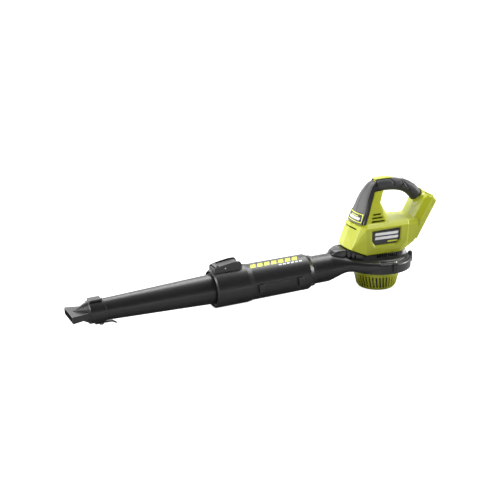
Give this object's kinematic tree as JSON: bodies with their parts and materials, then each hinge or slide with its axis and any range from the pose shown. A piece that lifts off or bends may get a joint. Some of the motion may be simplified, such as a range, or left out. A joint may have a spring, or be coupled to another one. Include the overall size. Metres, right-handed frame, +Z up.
{
  "type": "cordless leaf blower",
  "caption": "Handheld cordless leaf blower: lime body with loop handle and battery foot, fan scroll with round intake grille, silencer sleeve, tapered tube and flat nozzle.",
  "frame": {"origin": "on the fan's axis, at the centre of the intake grille's flat bottom", "axes": "+Z up along the fan's axis, +X towards the battery foot, so the nozzle points towards -X, +Y to the right of the body"},
  "size_m": [0.8725, 0.1712, 0.2603],
  "materials": {
    "lime_plastic": "injection-moulded lime green plastic, fine satin texture",
    "black_plastic": "injection-moulded black plastic, soft satin texture",
    "grey_plastic": "dark grey plastic, fine textured",
    "soft_grip": "black thermoplastic rubber, matt",
    "steel": "plain steel",
    "copper": "enamelled copper wire",
    "brass": "stamped brass contact",
    "board": "green circuit board",
    "foam": "open-cell acoustic foam"
  },
  "bodies": {
    "casing": {"badge_left": "black_plastic", "badge_right": "black_plastic", "bearing_lower": "steel", "bearing_upper": "steel", "capacitor_bank": "black_plastic", "control_board": "board", "front_frame": "black_plastic", "front_panel": "grey_plastic", "grip": "soft_grip", "housing_left": "lime_plastic", "housing_right": "lime_plastic", "housing_screw_1": "steel", "housing_screw_2": "steel", "housing_screw_3": "steel", "housing_screw_4": "steel", "housing_screw_5": "steel", "intake_grille": "lime_plastic", "latch_pin": "steel", "latch_spring": "steel", "lock_collar": "black_plastic", "motor_can": "steel", "motor_flange": "steel", "motor_mount": "steel", "perforated_tube": "black_plastic", "scroll_screw_1": "steel", "scroll_screw_2": "steel", "scroll_screw_3": "steel", "silencer_foam": "foam", "sleeve_lower": "black_plastic", "sleeve_upper": "black_plastic", "stator_core": "steel", "stator_winding": "copper", "stator_winding_lower": "copper", "terminal_blade_1": "brass", "terminal_blade_2": "brass", "terminal_blade_3": "brass", "terminal_block": "black_plastic", "top_patch": "lime_plastic", "trigger_spring": "steel", "trigger_switch": "black_plastic", "volute_lower": "black_plastic", "volute_upper": "black_plastic"},
    "fan": {"impeller": "black_plastic", "impeller_nut": "steel", "motor_shaft": "steel", "motor_rotor": "steel"},
    "trigger": {"trigger": "black_plastic"},
    "latch": {"latch_lever": "black_plastic"},
    "tube": {"blower_tube": "black_plastic"},
    "nozzle": {"nozzle": "black_plastic", "release_pin": "steel"},
    "release": {"nozzle_release": "black_plastic"}
  },
  "joints": [
    {"name": "fan_spin", "type": "hinge", "parent": "casing", "child": "fan", "pos_m": [0, 0, 0.06], "axis": [0, 0, 1], "continuous": true},
    {"name": "trigger_pull", "type": "slide", "parent": "casing", "child": "trigger", "axis": [-1, 0, 0], "range_m": [0, 0.006], "stiffness_N_per_m": 300, "springref_m": -0.004, "deforming": ["trigger_spring"]},
    {"name": "latch_press", "type": "hinge", "parent": "casing", "child": "latch", "pos_m": [-0.38819, 0, 0.09555], "axis": [0, -1, 0], "range_deg": [0, 6], "stiffness_Nm_per_rad": 0.5, "springref_deg": -5.73, "deforming": ["latch_spring"]},
    {"name": "tube_slide", "type": "slide", "parent": "casing", "child": "tube", "axis": [-0.999, 0, -0.0456], "range_m": [0, 0.07]},
    {"name": "nozzle_slide", "type": "slide", "parent": "tube", "child": "nozzle", "axis": [-0.999, 0, -0.0456], "range_m": [0, 0.036]},
    {"name": "release_press", "type": "hinge", "parent": "nozzle", "child": "release", "pos_m": [-0.67001, 0, 0.00612], "axis": [0, -1, 0], "range_deg": [0, 5], "stiffness_Nm_per_rad": 1.2, "springref_deg": -5.73}
  ]
}
